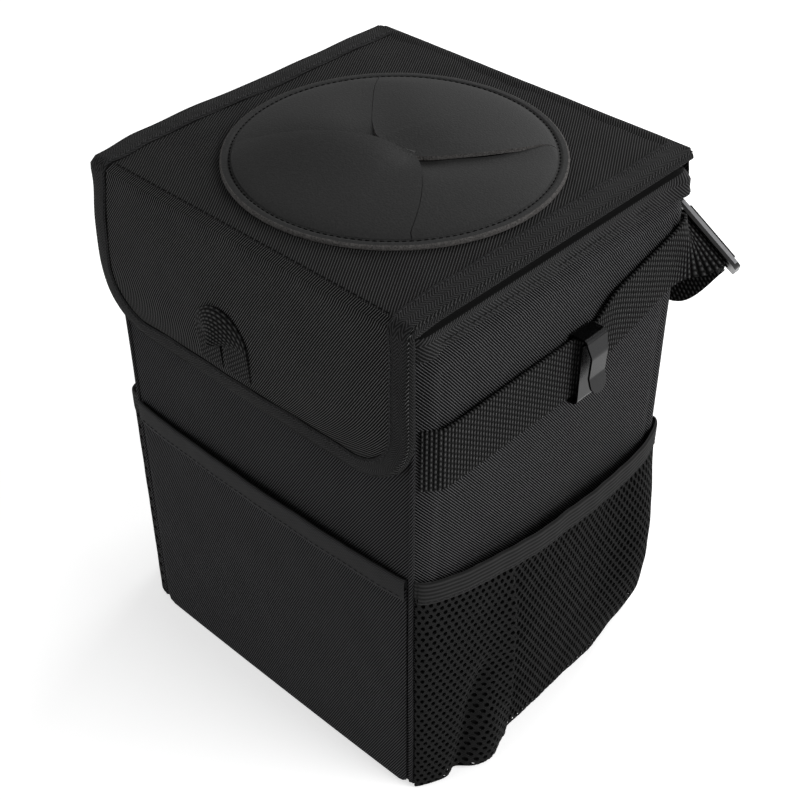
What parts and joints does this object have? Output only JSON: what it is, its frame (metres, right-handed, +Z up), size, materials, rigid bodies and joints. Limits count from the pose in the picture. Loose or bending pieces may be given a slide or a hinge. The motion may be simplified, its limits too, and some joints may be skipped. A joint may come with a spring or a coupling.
{
  "type": "car trash bin",
  "caption": "Soft black car trash bin with hinged lid, push-through petal disc, front flap, pockets, hanging strap and clip.",
  "frame": {"origin": "middle of the base, on the floor that the bin stands on", "axes": "+X to the right when the front is faced, +Y to the back, +Z up"},
  "size_m": [0.2224, 0.2194, 0.2748],
  "materials": {
    "twill_cloth": "matte",
    "canvas": "matte",
    "lining": "satin",
    "board": "matte",
    "edge_tape": "satin",
    "net": "matte",
    "elastic": "matte",
    "webbing": "satin",
    "slide_plastic": "satin",
    "clip_steel": "gloss",
    "closure_tape": "matte",
    "moulded_rubber": "matte"
  },
  "bodies": {
    "bin": {"front_panel": "twill_cloth", "back_panel": "twill_cloth", "right_panel": "twill_cloth", "left_panel": "twill_cloth", "bottom_panel": "twill_cloth", "front_board": "board", "back_board": "board", "right_board": "board", "left_board": "board", "base_board": "board", "liner": "lining", "rim_binding": "edge_tape", "hinge_tape": "twill_cloth", "front_pocket": "twill_cloth", "front_pocket_binding": "edge_tape", "right_mesh_pocket": "net", "left_mesh_pocket": "net", "right_pocket_elastic": "elastic", "left_pocket_elastic": "elastic", "right_strap": "webbing", "long_strap": "webbing", "strap_slide": "slide_plastic", "loop_tape": "closure_tape"},
    "lid": {"lid_lining": "lining", "lid_board": "board", "lid_cover": "twill_cloth", "right_lid_binding": "edge_tape", "left_lid_binding": "edge_tape", "disc_rim": "moulded_rubber"},
    "flap": {"flap_lining": "lining", "flap_cover": "canvas", "flap_binding": "edge_tape", "hook_tape": "closure_tape", "pull_loop": "webbing"},
    "front_petal": {"front_petal": "moulded_rubber"},
    "right_petal": {"right_petal": "moulded_rubber"},
    "back_petal": {"back_petal": "moulded_rubber"},
    "left_petal": {"left_petal": "moulded_rubber"},
    "clip": {"side_clip": "clip_steel"}
  },
  "joints": [
    {"name": "lid_hinge", "type": "hinge", "parent": "bin", "child": "lid", "pos_m": [0, 0.0856, 0.26], "axis": [-1, 0, 0], "range_deg": [0, 180]},
    {"name": "flap_hinge", "type": "hinge", "parent": "lid", "child": "flap", "pos_m": [0, -0.0899, 0.2651], "axis": [-1, 0, 0], "range_deg": [0, 120]},
    {"name": "front_petal_hinge", "type": "hinge", "parent": "lid", "child": "front_petal", "pos_m": [0, -0.04684, 0.2664], "axis": [-1, 0, 0], "range_deg": [0, 65], "stiffness_Nm_per_rad": 0.05, "springref_deg": -11.46},
    {"name": "right_petal_hinge", "type": "hinge", "parent": "lid", "child": "right_petal", "pos_m": [0.04384, -0.003, 0.2664], "axis": [0, -1, 0], "range_deg": [0, 65], "stiffness_Nm_per_rad": 0.05, "springref_deg": -11.46},
    {"name": "back_petal_hinge", "type": "hinge", "parent": "lid", "child": "back_petal", "pos_m": [0, 0.04084, 0.2664], "axis": [1, 0, 0], "range_deg": [0, 65], "stiffness_Nm_per_rad": 0.05, "springref_deg": -11.46},
    {"name": "left_petal_hinge", "type": "hinge", "parent": "lid", "child": "left_petal", "pos_m": [-0.04384, -0.003, 0.2664], "axis": [0, 1, 0], "range_deg": [0, 65], "stiffness_Nm_per_rad": 0.05, "springref_deg": -11.46},
    {"name": "clip_slide", "type": "slide", "parent": "bin", "child": "clip", "axis": [0, 1, 0], "range_m": [-0.06, 0]}
  ]
}
